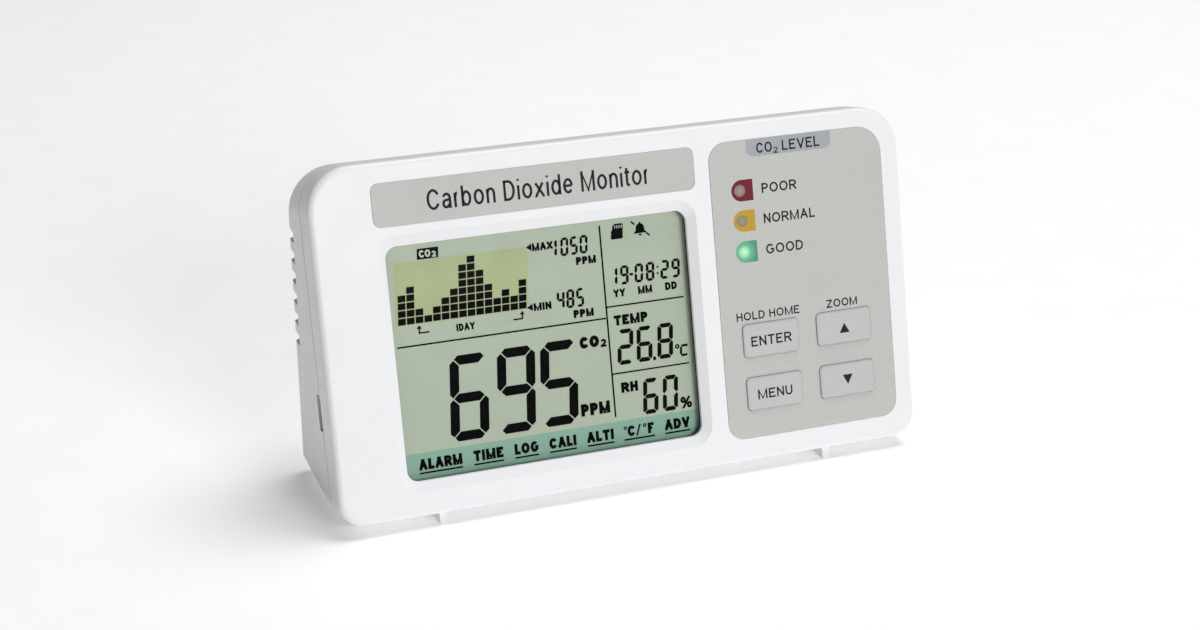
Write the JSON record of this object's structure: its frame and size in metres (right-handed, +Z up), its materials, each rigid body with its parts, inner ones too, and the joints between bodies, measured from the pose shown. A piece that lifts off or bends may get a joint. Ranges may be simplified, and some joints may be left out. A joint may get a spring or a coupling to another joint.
{
  "type": "carbon dioxide monitor",
  "caption": "Desktop carbon dioxide monitor with a leaning face, display, level lamps and keys on a wedge-shaped vented case with a vertical back.",
  "frame": {"origin": "bottom centre of the object's box, on the table under its feet", "axes": "+X to the right of the face, +Z up; the face looks towards -Y and leans back, and the back faces +Y"},
  "size_m": [0.1548, 0.0415, 0.0872],
  "materials": {
    "white_case": "fine satin moulded texture",
    "clear_window": "clear polished",
    "lcd_cell": "grey-green display glass",
    "dark_plastic": "matte",
    "diffuser": "milky",
    "contact_rubber": "striped silicone",
    "grey_film": "printed film, fine grain",
    "key_grey": "fine grain",
    "led_red": "diffused",
    "led_amber": "diffused",
    "led_green": "diffused, lit",
    "circuit_board": "solder mask",
    "steel": "plated",
    "tin_can": "tin plate",
    "black_plastic": "moulded",
    "gold_chamber": "gold plated",
    "membrane": "fine filter",
    "white_plastic": "moulded",
    "capacitor_sleeve": "shrink sleeve",
    "silver_label": "blank printed film"
  },
  "bodies": {
    "case": {"front_housing": "white_case", "rear_housing": "white_case", "foot_left": "white_case", "foot_right": "white_case", "display_window": "clear_window", "lcd_glass": "lcd_cell", "lcd_frame": "dark_plastic", "lcd_backlight": "diffuser", "lcd_contact_strip": "contact_rubber", "title_label": "grey_film", "control_overlay": "grey_film", "main_board": "circuit_board", "board_screws": "steel", "case_screws": "steel", "usb_socket": "tin_can", "card_socket": "tin_can", "co2_sensor_board": "circuit_board", "co2_sensor_chamber": "gold_chamber", "co2_sensor_membrane": "membrane", "co2_sensor_lamp": "black_plastic", "co2_sensor_detector": "steel", "co2_sensor_header": "black_plastic", "humidity_sensor": "white_plastic", "buzzer": "black_plastic", "microcontroller": "black_plastic", "crystal": "tin_can", "capacitors": "capacitor_sleeve", "coin_cell": "steel", "cell_holder": "black_plastic", "rating_label": "silver_label", "switch_enter": "black_plastic", "switch_menu": "black_plastic", "switch_up": "black_plastic", "switch_down": "black_plastic", "led_poor": "led_red", "led_normal": "led_amber", "led_good": "led_green"},
    "enter_key": {"key_enter": "key_grey"},
    "enter_plunger": {"plunger_enter": "black_plastic"},
    "menu_key": {"key_menu": "key_grey"},
    "menu_plunger": {"plunger_menu": "black_plastic"},
    "up_key": {"key_up": "key_grey"},
    "up_plunger": {"plunger_up": "black_plastic"},
    "down_key": {"key_down": "key_grey"},
    "down_plunger": {"plunger_down": "black_plastic"},
    "card": {"memory_card": "black_plastic"}
  },
  "joints": [
    {"name": "enter_press", "type": "slide", "parent": "case", "child": "enter_key", "axis": [0, 0.9692, -0.2463], "range_m": [0, 0.0005], "stiffness_N_per_m": 400},
    {"name": "enter_plunger_press", "type": "slide", "parent": "case", "child": "enter_plunger", "axis": [0, 0.9692, -0.2463], "range_m": [0, 0.0005]},
    {"name": "menu_press", "type": "slide", "parent": "case", "child": "menu_key", "axis": [0, 0.9692, -0.2463], "range_m": [0, 0.0005], "stiffness_N_per_m": 400},
    {"name": "menu_plunger_press", "type": "slide", "parent": "case", "child": "menu_plunger", "axis": [0, 0.9692, -0.2463], "range_m": [0, 0.0005]},
    {"name": "up_press", "type": "slide", "parent": "case", "child": "up_key", "axis": [0, 0.9692, -0.2463], "range_m": [0, 0.0005], "stiffness_N_per_m": 400},
    {"name": "up_plunger_press", "type": "slide", "parent": "case", "child": "up_plunger", "axis": [0, 0.9692, -0.2463], "range_m": [0, 0.0005]},
    {"name": "down_press", "type": "slide", "parent": "case", "child": "down_key", "axis": [0, 0.9692, -0.2463], "range_m": [0, 0.0005], "stiffness_N_per_m": 400},
    {"name": "down_plunger_press", "type": "slide", "parent": "case", "child": "down_plunger", "axis": [0, 0.9692, -0.2463], "range_m": [0, 0.0005]},
    {"name": "card_slide", "type": "slide", "parent": "case", "child": "card", "axis": [1, 0, 0], "range_m": [-0.0008, 0.024]}
  ],
  "couplings": [
    {"joint": "enter_plunger_press", "follows": "enter_press", "ratio": 1},
    {"joint": "menu_plunger_press", "follows": "menu_press", "ratio": 1},
    {"joint": "up_plunger_press", "follows": "up_press", "ratio": 1},
    {"joint": "down_plunger_press", "follows": "down_press", "ratio": 1}
  ]
}
